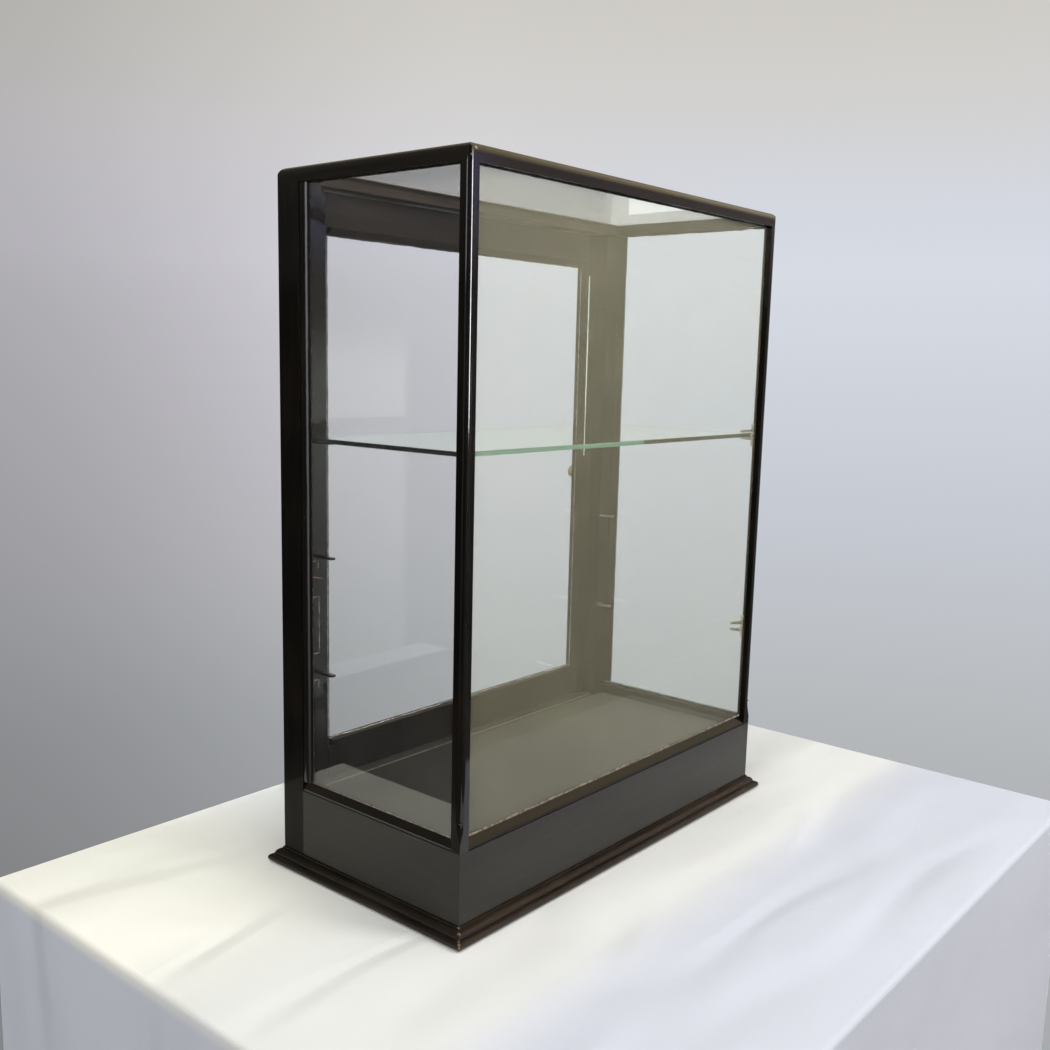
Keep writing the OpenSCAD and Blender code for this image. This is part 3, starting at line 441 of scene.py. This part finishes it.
# The next pale tone edges the front pane and also paints the highlight on the door stile's arris
PALE_EDGE_AND_HIGHLIGHT = daub("pale_edge_and_painted_highlight", (0.66, 0.66, 0.64), (0.20, 0.18, 0.16), 0.7, 0.60, 35)
PALE_LINE = daub("pale_line", (0.20, 0.175, 0.125), (0.06, 0.05, 0.035), 0.9, 0.56, 36)
WHITE = daub("white_mark", (0.86, 0.86, 0.83), (0.60, 0.58, 0.52), 0.6, 0.72, 37)
CHALK = daub("chalk_mark", (0.26, 0.25, 0.23), (0.08, 0.07, 0.06), 0.9, 0.5, 34)


# Across a strip: share of its width, share of its thickness
STRIP_PROFILE = ((0.0, 0.7), (0.45, 1.0), (0.85, 0.7), (1.0, 0.0))
NARROWEST = 0.2


def ragged_strip(name, a, b, inward, out, width, rag, mat, seed, thick=0.00014, step=0.0012):
    """A thin strip along a to b that reaches inward by an uneven width and stands out by its thickness.

    Its width wanders slowly by a drift and quickly by a second draw at each step.
    """
    rng = random.Random(seed)
    n = max(3, int((b - a).length / step))
    verts, faces = [], []
    drift = 0.0
    for i in range(n + 1):
        drift = 0.75 * drift + rng.uniform(-0.3, 0.3)
        w = width * max(NARROWEST, 1 + rag * (drift + rng.uniform(-0.22, 0.22)))
        base = a + (b - a) * (i / n)
        for share, raised in STRIP_PROFILE:
            verts.append(base + inward * (w * share) + out * (thick * raised))
        verts.append(base)
    ring = len(STRIP_PROFILE) + 1
    for i in range(n):
        for k in range(ring):
            j = (k + 1) % ring
            faces.append((ring * i + k, ring * i + j, ring * (i + 1) + j, ring * (i + 1) + k))
    faces += [tuple(reversed(range(ring))), tuple(ring * n + k for k in range(ring))]
    me = bpy.data.meshes.new(name)
    me.from_pydata(verts, [], faces)
    me.validate()
    bm = bmesh.new()
    bm.from_mesh(me)
    bmesh.ops.recalc_face_normals(bm, faces=bm.faces)
    bm.to_mesh(me)
    bm.free()
    me.materials.append(mat)
    o = bpy.data.objects.new(name, me)
    scene.collection.objects.link(o)
    return o


def pane_edges(name, corners, out, sides, body, seed):
    """Strips of paint or putty round a pane; corners run round it, sides give (width, ragged, material)."""
    middle = sum(corners, Vector()) / 4
    for i, (width, rag, mat) in enumerate(sides):
        a, b = corners[i], corners[(i + 1) % 4]
        along = (b - a).normalized()
        inward = out.cross(along)
        if inward.dot(middle - a) < 0:
            inward.negate()
        o = ragged_strip("%s_%d" % (name, i + 1), a, b, inward, out, width, rag, mat, seed + i,
                         thick=0.00010 + 0.00003 * i)
        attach(o, body)


SAME_POINT = 0.00001
SHARP_DEGREES = 35


def soften(obj, width):
    """Rounds a CAD solid's sharp edges and keeps the shading of its flat faces flat."""
    weld = obj.modifiers.new("weld", "WELD")
    weld.merge_threshold = SAME_POINT
    b = obj.modifiers.new("soften", "BEVEL")
    b.width = width
    b.segments = 2
    b.limit_method = "ANGLE"
    b.angle_limit = math.radians(SHARP_DEGREES)
    even = obj.modifiers.new("even", "WEIGHTED_NORMAL")
    even.mode = "FACE_AREA"
    even.weight = 100
    even.keep_sharp = True


for key, names in USES.items():
    for n in names:
        obj = NODES[n]
        for slot in obj.material_slots:
            slot.material = M[key]
        if key in EDGE_WIDTHS and n not in SLOTTED:
            soften(obj, EDGE_WIDTHS[key])


# Paint and putty at the edges of the panes

# How far the frame covers the top pane, and how far the door beads reach over the door pane
TOP_REBATE, TOP_REBATE_REAR = 0.0046, 0.0036
DOOR_BEAD = 0.0051


def low(node, axis):
    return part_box(node)[0][axis]


def high(node, axis):
    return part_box(node)[1][axis]


def edge_all_panes():
    """Uneven paint and putty round the front, side, top and door panes."""
    x0, x1 = high("front_post_left", 0), low("front_post_right", 0)
    z0, z1 = high("bottom_bead_front", 2), low("top_rail_front", 2)
    y = low("front_pane", 1)
    pane_edges("front_edge", [Vector(c) for c in ((x0, y, z0), (x1, y, z0), (x1, y, z1), (x0, y, z1))],
               Vector((0, -1, 0)),
               ((0.0024, 0.6, PUTTY), (0.0010, 0.6, PAINT), (0.0014, 0.6, PAINT), (0.0009, 0.5, PALE_EDGE_AND_HIGHLIGHT)), "case", 10)
    y0, y1 = high("front_post_left", 1), low("side_bead_left", 1)
    for side, node, seed in ((-1, "left_pane", 20), (1, "right_pane", 30)):
        x = low(node, 0) if side < 0 else high(node, 0)
        pane_edges(node.replace("pane", "edge"),
                   [Vector(c) for c in ((x, y0, z0), (x, y1, z0), (x, y1, z1), (x, y0, z1))], Vector((side, 0, 0)),
                   ((0.0014, 0.6, PUTTY), (0.0010, 0.6, PAINT), (0.0018, 0.6, PAINT if side < 0 else PUTTY),
                    (0.0010, 0.6, PAINT)),
                   "case", seed)
    x0, x1 = low("top_pane", 0) + TOP_REBATE, high("top_pane", 0) - TOP_REBATE
    y0, y1 = low("top_pane", 1) + TOP_REBATE, high("top_pane", 1) - TOP_REBATE_REAR
    z = low("top_pane", 2)
    pane_edges("top_edge", [Vector(c) for c in ((x0, y0, z), (x1, y0, z), (x1, y1, z), (x0, y1, z))],
               Vector((0, 0, -1)),
               ((0.0022, 0.6, PAINT), (0.0024, 0.8, PUTTY), (0.0020, 0.8, PAINT), (0.0022, 0.6, PAINT)), "case", 40)
    inner = high("door_beads_upright", 0) - DOOR_BEAD
    z0, z1 = low("door_beads_level", 2) + DOOR_BEAD, high("door_beads_level", 2) - DOOR_BEAD
    y = low("door_pane", 1)
    pane_edges("door_edge", [Vector(c) for c in ((-inner, y, z0), (inner, y, z0), (inner, y, z1), (-inner, y, z1))],
               Vector((0, -1, 0)),
               ((0.0014, 0.6, PUTTY), (0.0010, 0.5, PUTTY), (0.0014, 0.6, PAINT), (0.0010, 0.6, PAINT)),
               "rear_door", 50)


edge_all_panes()


# Marks that old fittings left on the rear left post, inside


def post_marks():
    """Short strokes and a chalked frame, each given by its ends as (x, z)."""
    y = low("rear_post_left", 1)
    strokes = (("old_mark_1", (-0.2735, 0.359), (-0.265, 0.359), RUST, 0.0011),
               ("old_mark_2", (-0.2655, 0.359), (-0.2655, 0.350), CHALK, 0.0009),
               ("old_mark_3", (-0.275, 0.342), (-0.2595, 0.338), RUST, 0.0014),
               ("old_mark_4", (-0.2742, 0.318), (-0.2652, 0.318), CHALK, 0.0008),
               ("old_mark_5", (-0.2742, 0.253), (-0.2652, 0.253), CHALK, 0.0008),
               ("old_mark_6", (-0.2742, 0.253), (-0.2742, 0.318), CHALK, 0.0007),
               ("old_mark_7", (-0.2652, 0.253), (-0.2652, 0.318), CHALK, 0.0007),
               ("old_mark_8", (-0.2735, 0.222), (-0.265, 0.222), RUST, 0.0011),
               ("old_mark_9", (-0.2655, 0.222), (-0.2655, 0.212), CHALK, 0.0009))
    for i, (name, a, b, mat, width) in enumerate(strokes):
        start, end = Vector((a[0], y, a[1])), Vector((b[0], y, b[1]))
        across = Vector((0, 1, 0)).cross((end - start).normalized())
        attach(ragged_strip(name, start, end, across, Vector((0, -1, 0)), width, 0.5, mat, 60 + i,
                             thick=0.00010 + 0.00001 * i, step=0.0008), "case")


post_marks()


def small_marks():
    """Light lines and spots: a pale line at the floor joint, a painted highlight on the door stile's arris, a white
    spot at the right pane's foot and a white curved stroke under the top pane.
    """
    z = high("floor_panel", 2)
    down, up = Vector((0, 0, -1)), Vector((0, 0, 1))
    # A pale line along the floor's rear edge
    joint = ragged_strip("floor_joint", Vector((-0.258, 0.110, z)), Vector((0.272, 0.110, z)), Vector((0, 1, 0)), up,
                         0.0014, 0.6, PALE_LINE, 81)
    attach(joint, "case")
    # Painted highlight: pale strips along the catch stile's arris stand for the bright line that light draws there
    y = low("door_stile_catch", 1)
    for name, x, z0, z1, width, seed in (("stile_painted_highlight_1", 0.2392, 0.520, 0.705, 0.0019, 82),
                                         ("stile_painted_highlight_2", 0.2396, 0.450, 0.519, 0.0014, 83)):
        line = ragged_strip(name, Vector((x, y, z0)), Vector((x, y, z1)), Vector((1, 0, 0)), Vector((0, -1, 0)),
                            width, 0.5, PALE_EDGE_AND_HIGHLIGHT, seed)
        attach(line, "rear_door")
    # A small white spot at the right pane's foot
    x = low("right_pane", 0)
    drop = ragged_strip("white_spot", Vector((x, 0.026, 0.1080)), Vector((x, 0.057, 0.1080)), up, Vector((-1, 0, 0)),
                        0.0034, 0.4, WHITE, 84)
    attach(drop, "case")
    # A white curved stroke under the top pane
    z = low("top_pane", 2)
    bend = [Vector((x, y, z)) for x, y in ((-0.044, -0.099), (-0.010, -0.081), (0.018, -0.062), (0.048, -0.037))]
    for i, (a, b) in enumerate(zip(bend, bend[1:])):
        across = down.cross((b - a).normalized())
        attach(ragged_strip("white_stroke_%d" % (i + 1), a, b, across, down, 0.0024 - 0.0004 * i, 0.3, WHITE, 85 + i,
                             thick=0.00012 + 0.00002 * i), "case")


small_marks()


# Slotted screws in place of the plain ones


def islands(obj):
    """The separate solids of a node, each as a list of points, in the order of the mesh."""
    bm = bmesh.new()
    bm.from_mesh(obj.data)
    bmesh.ops.remove_doubles(bm, verts=bm.verts, dist=SAME_POINT / 2)
    left = set(bm.verts)
    for first in bm.verts:
        if first not in left:
            continue
        left.remove(first)
        todo = [first]
        found = []
        while todo:
            v = todo.pop()
            found.append(v.co.copy())
            for e in v.link_edges:
                other = e.other_vert(v)
                if other in left:
                    left.remove(other)
                    todo.append(other)
        yield found
    bm.free()


def screw_axis(points):
    """Head middle, direction out of the head, head radius, shank radius and length of a screw's points."""
    middle = sum(points, Vector()) / len(points)
    far = max(points, key=lambda q: (q - middle).length)
    opposite = max(points, key=lambda q: (q - far).length)
    ends = []
    for tip in (far, opposite):
        near = [q for q in points if (q - tip).length < (far - opposite).length * 0.42]
        centre = sum(near, Vector()) / len(near)
        ends.append((max((q - centre).length for q in near), centre))
    rough = (ends[0][1] - ends[1][1]).normalized()
    axis = max((Vector(a) for a in ((1, 0, 0), (0, 1, 0), (0.70711, 0.70711, 0), (0.70711, -0.70711, 0))),
               key=lambda a: abs(a.dot(rough)))
    along = [(q - middle).dot(axis) for q in points]
    reach = {}
    for q, t in zip(points, along):
        radial = ((q - middle) - axis * t).length
        key = "high" if t > (max(along) + min(along)) / 2 else "low"
        reach[key] = max(reach.get(key, 0), radial)
    head_high = reach["high"] > reach["low"]
    out = axis if head_high else -axis
    head = middle + axis * (max(along) if head_high else min(along))
    return head, out, max(reach.values()), min(reach.values()), max(along) - min(along)


# A slot's half width and depth, as shares of the head's radius, and the steps round a screw
SLOT_HALF_WIDTH, SLOT_DEPTH = 0.16, 0.22
AROUND = 24


def slotted_screw(bm, head, out, head_r, shank_r, length, turn):
    """Countersunk screw whose head is two raised halves beside a slot."""
    side = out.orthogonal().normalized()
    side = (Matrix.Rotation(turn, 3, out) @ side).normalized()
    other = out.cross(side)
    slot_w, slot_d = head_r * SLOT_HALF_WIDTH, head_r * SLOT_DEPTH
    rings = [(shank_r * 0.3, -length), (shank_r, -length + shank_r), (shank_r, -(head_r - shank_r) - slot_d * 0.2),
             (head_r - slot_d, -slot_d)]
    grid = [[bm.verts.new(head + out * h + (side * math.cos(a) + other * math.sin(a)) * r)
             for a in (2 * math.pi * k / AROUND for k in range(AROUND))] for r, h in rings]
    for low_ring, high_ring in zip(grid, grid[1:]):
        for k in range(AROUND):
            j = (k + 1) % AROUND
            bm.faces.new((low_ring[k], low_ring[j], high_ring[j], high_ring[k]))
    bm.faces.new(list(reversed(grid[0])))
    bm.faces.new(grid[-1])
    for s in (-1, 1):
        start = math.asin(slot_w / head_r)
        arc = [start + (math.pi - 2 * start) * k / (AROUND // 2) for k in range(AROUND // 2 + 1)]
        rays = [side * math.cos(a) + other * (s * math.sin(a)) for a in arc]
        foot = [bm.verts.new(head - out * slot_d + ray * (head_r - slot_d)) for ray in rays]
        rim = [bm.verts.new(head - out * (head_r * 0.04) + ray * head_r * 0.98) for ray in rays]
        crown = bm.verts.new(head + other * (s * head_r * 0.5))
        count = len(rays)
        for k in range(count):
            j = (k + 1) % count
            bm.faces.new((foot[k], foot[j], rim[j], rim[k]))
            bm.faces.new((rim[k], rim[j], crown))
        bm.faces.new(foot)


def slotted_screws(node, body, mat, seed):
    """Replaces a node's plain screws by slotted ones, each turned at random."""
    rng = random.Random(seed)
    bm = bmesh.new()
    for points in islands(NODES[node]):
        slotted_screw(bm, *screw_axis(points), rng.uniform(0, math.pi))
    bmesh.ops.recalc_face_normals(bm, faces=bm.faces)
    me = bpy.data.meshes.new(node + "_slotted")
    bm.to_mesh(me)
    bm.free()
    me.materials.append(mat)
    o = bpy.data.objects.new(node + "_slotted", me)
    scene.collection.objects.link(o)
    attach(o, body)
    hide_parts(node)


for node, (body, metal_key, seed) in SLOTTED.items():
    slotted_screws(node, body, M[metal_key], seed)


# Stage: a cloth-covered table, a pale wall beyond it and soft lamps

TABLE_LOW, TABLE_HIGH = Vector((-0.54, -0.50, -0.75)), Vector((0.548, 0.341, -0.0002))
TABLE_ROUNDING = 0.006


def table_top():
    """The covered table as one block, with its top just under the case."""
    bm = bmesh.new()
    bmesh.ops.create_cube(bm, size=1)
    for v in bm.verts:
        for i in range(3):
            v.co[i] = (TABLE_LOW[i] + TABLE_HIGH[i]) / 2 + v.co[i] * (TABLE_HIGH[i] - TABLE_LOW[i])
    me = bpy.data.meshes.new("floor")
    bm.to_mesh(me)
    bm.free()
    o = bpy.data.objects.new("floor", me)
    scene.collection.objects.link(o)
    b = o.modifiers.new("round", "BEVEL")
    b.width, b.segments = TABLE_ROUNDING, 4
    o.data.materials.append(cloth_material())


def cloth_material():
    mat = bpy.data.materials.new("white_cloth")
    t = Tree(mat)
    pos = t.coords()
    folds = t.noise(pos, 2.2, 3, 0.5, 2)
    weave = t.noise(pos, 900, 2, 0.5, 3)
    x, y, z = t.xyz(pos)

    # Painted light and shade: the rear left is painted lighter, the front strip and the hanging sides darker and
    # bluer as if in shade, and the folds a little lighter where they stand high
    cloth = t.mix(t.ramp(folds, 0.3, 0.7), rgb(0.80, 0.80, 0.77), rgb(0.84, 0.84, 0.82))
    left = t.mix(t.ramp(y, 0.12, -0.08), rgb(0.95, 0.935, 0.83), rgb(0.80, 0.80, 0.77))
    cloth = t.mix(t.ramp(x, -0.15, -0.40), cloth, left)
    cloth = t.mix(t.ramp(y, -0.22, -0.32), cloth, rgb(0.64, 0.66, 0.73))
    cloth = t.mix(t.ramp(z, -0.004, -0.02), cloth, rgb(0.66, 0.67, 0.73))

    # Soft folds run across the table; a finer weave lies on them
    lie = t.add("ShaderNodeMapping", inputs={0: pos, 2: (0, 0, math.radians(-35)), 3: (1.6, 6.0, 1.6)}).outputs[0]
    creases = t.noise(lie, 1.0, 1.5, 0.4, 5)
    sharp = t.ramp(t.math("ABSOLUTE", t.minus(t.noise(lie, 1.1, 1, 0.4, 8), 0.5)), 0.0, 0.10, 0.0, 0.10)
    height = t.plus(t.plus(folds, creases), sharp)
    woven = t.bump(0.2, 0.0004, weave, Normal=t.bump(0.6, 0.05, height))
    t.out(t.principled(Base_Color=cloth, Roughness=0.9, Specular_IOR_Level=0.2, Normal=woven))
    return mat


table_top()

# Strength of the even light that diffuse surfaces get from the world
SOFT_LIGHT = 0.40


def make_world():
    """The wall behind, the room that gloss shows and the plain soft light, chosen by the kind of ray."""
    world = bpy.data.worlds.new("studio")
    scene.world = world
    t = Tree(world)
    tc = t.add("ShaderNodeTexCoord").outputs["Generated"]
    dx, dy, dz = t.xyz(tc)
    level_len = t.math("SQRT", t.plus(t.times(dx, dx), t.times(dy, dy)))

    def toward(azimuth):
        a = math.radians(azimuth)
        return t.plus(t.times(dx, math.cos(a)), t.times(dy, math.sin(a)))

    def beam(azimuth, half, soft):
        """1 within half degrees of an azimuth, 0 beyond half + soft."""
        near = t.math("DIVIDE", toward(azimuth), level_len)
        return t.ramp(near, math.cos(math.radians(half + soft)), math.cos(math.radians(half)))

    def lit(base, where, colour):
        return t.mix(where, base, rgb(*colour))

    # the wall that the camera sees, also through the panes; its brightness is painted, lighter to the right and just
    # above level, with painted shade low on the left above the table
    side = toward(-50.1)
    across = t.plus(t.ramp(side, -0.5, 0.0, 0.41, 0.71),
                    t.times(t.ramp(dz, 0.02, 0.2), t.line(side, -0.3, 0.0, 0.07, 0.0)))
    height = t.math("MINIMUM", t.line(dz, 0.08, 0.68, 1.0, 0.55), t.line(dz, -0.42, 0.08, 0.575, 1.0))
    high = t.ramp(dz, 0.10, 0.27)
    low = t.ramp(dz, -0.10, -0.30)
    wall = t.mix(t.ramp(side, -0.30, 0.24), rgb(1.01, 0.99, 1.06), rgb(0.96, 1.0, 1.10))
    wall = t.mix(high, wall, rgb(1.03, 1.0, 0.95))
    wall = t.mix(low, wall, rgb(0.97, 1.0, 1.04))
    dusk = t.times(t.ramp(dz, -0.17, -0.33), t.ramp(side, 0.12, -0.2))
    strength = t.times(across, t.minus(height, t.times(dusk, 0.055)))
    seen = t.add("ShaderNodeBackground", inputs={0: wall, 1: strength}).outputs[0]

    # the dim room that glossy surfaces show, with two windows, a lit ceiling and the wall behind
    room = t.mix(t.ramp(dz, -0.25, 0.2), rgb(0.07, 0.07, 0.06), rgb(0.11, 0.11, 0.115))
    left_room = t.ramp(toward(132), 0.35, 0.85)
    room = lit(room, left_room, (0.06, 0.06, 0.062))
    room = lit(room, t.times(left_room, t.ramp(dz, 0.10, 0.18)), (0.16, 0.145, 0.12))
    room = lit(room, t.times(t.ramp(toward(-37), 0.3, 0.8), t.ramp(dz, 0.05, 0.13)), (0.40, 0.34, 0.33))
    overhead = t.times(t.ramp(dz, 0.16, 0.40), t.ramp(toward(-8), -0.2, 0.5))
    room = lit(room, overhead, (1.15, 0.95, 0.62))
    room = lit(room, t.times(overhead, t.ramp(dz, 0.55, 0.85)), (0.75, 0.62, 0.42))
    violet_band = t.times(t.ramp(dz, 0.06, 0.13), t.ramp(dz, 0.24, 0.20))
    room = lit(room, t.times(beam(-48.4, 5.3, 0.5), violet_band), (0.75, 0.70, 1.35))
    side_window = t.times(beam(-50, 3.5, 0.5), t.ramp(dz, 0.04, -0.02))
    room = lit(room, t.times(side_window, t.line(dz, -0.21, -0.035, 0.36, 1.0)), (1.15, 1.13, 1.1))
    behind = t.times(t.ramp(toward(40), 0.35, 0.75), t.ramp(dz, 0.5, 0.25))
    room = lit(room, behind, (0.66, 0.68, 0.70))
    room = lit(room, t.times(behind, t.ramp(dz, 0.0, -0.06)), (0.88, 0.90, 0.90))
    fade = t.line(dz, -0.35, 0.2, 0.12, 1.0)
    room = lit(room, t.times(beam(180, 5, 5), fade), (3.6, 3.6, 3.9))
    room = lit(room, t.times(beam(-89, 5, 3), t.ramp(dz, -0.075, -0.045)), (26.0, 26.5, 29.0))
    shiny = t.add("ShaderNodeBackground", inputs={0: room, 1: 1.0}).outputs[0]
    soft = t.add("ShaderNodeBackground", inputs={0: rgb(0.98, 0.99, 1.0), 1: SOFT_LIGHT}).outputs[0]

    path = t.add("ShaderNodeLightPath")
    bounces = t.plus(path.outputs["Glossy Depth"], path.outputs["Diffuse Depth"])
    open_view = t.larger(path.outputs["Is Camera Ray"], path.outputs["Is Transmission Ray"])
    open_view = t.times(open_view, t.math("LESS_THAN", bounces, 0.5))
    no_diffuse = t.math("LESS_THAN", path.outputs["Diffuse Depth"], 0.5)
    gloss = t.times(path.outputs["Is Transmission Ray"], no_diffuse)
    gloss = t.larger(path.outputs["Is Glossy Ray"], gloss)
    t.add("ShaderNodeOutputWorld", inputs={0: t.blend(open_view, t.blend(gloss, soft, shiny), seen)})


make_world()

# What the lamps point at
AIM = Vector((0, 0, 0.4))


def softbox(name, azimuth, elevation, away, size, power, colour):
    """An area lamp aimed at the middle of the case, which reflections don't show."""
    data = bpy.data.lights.new(name, "AREA")
    data.shape = "RECTANGLE"
    data.size, data.size_y = size
    data.energy = power
    data.color = colour
    o = bpy.data.objects.new(name, data)
    scene.collection.objects.link(o)
    a, e = math.radians(azimuth), math.radians(elevation)
    o.location = AIM + away * Vector((math.cos(e) * math.cos(a), math.cos(e) * math.sin(a), math.sin(e)))
    o.rotation_euler = (AIM - o.location).to_track_quat("-Z", "Y").to_euler()
    o.visible_glossy = False


softbox("window_lamp", -70, 28, 2.4, (0.7, 1.2), 30, (1.0, 0.99, 0.97))
softbox("ceiling_lamp", -120, 75, 2.6, (2.2, 2.2), 28, (1.0, 0.97, 0.92))
softbox("left_lamp", -165, 30, 2.8, (0.8, 1.4), 23, (0.96, 0.97, 0.99))
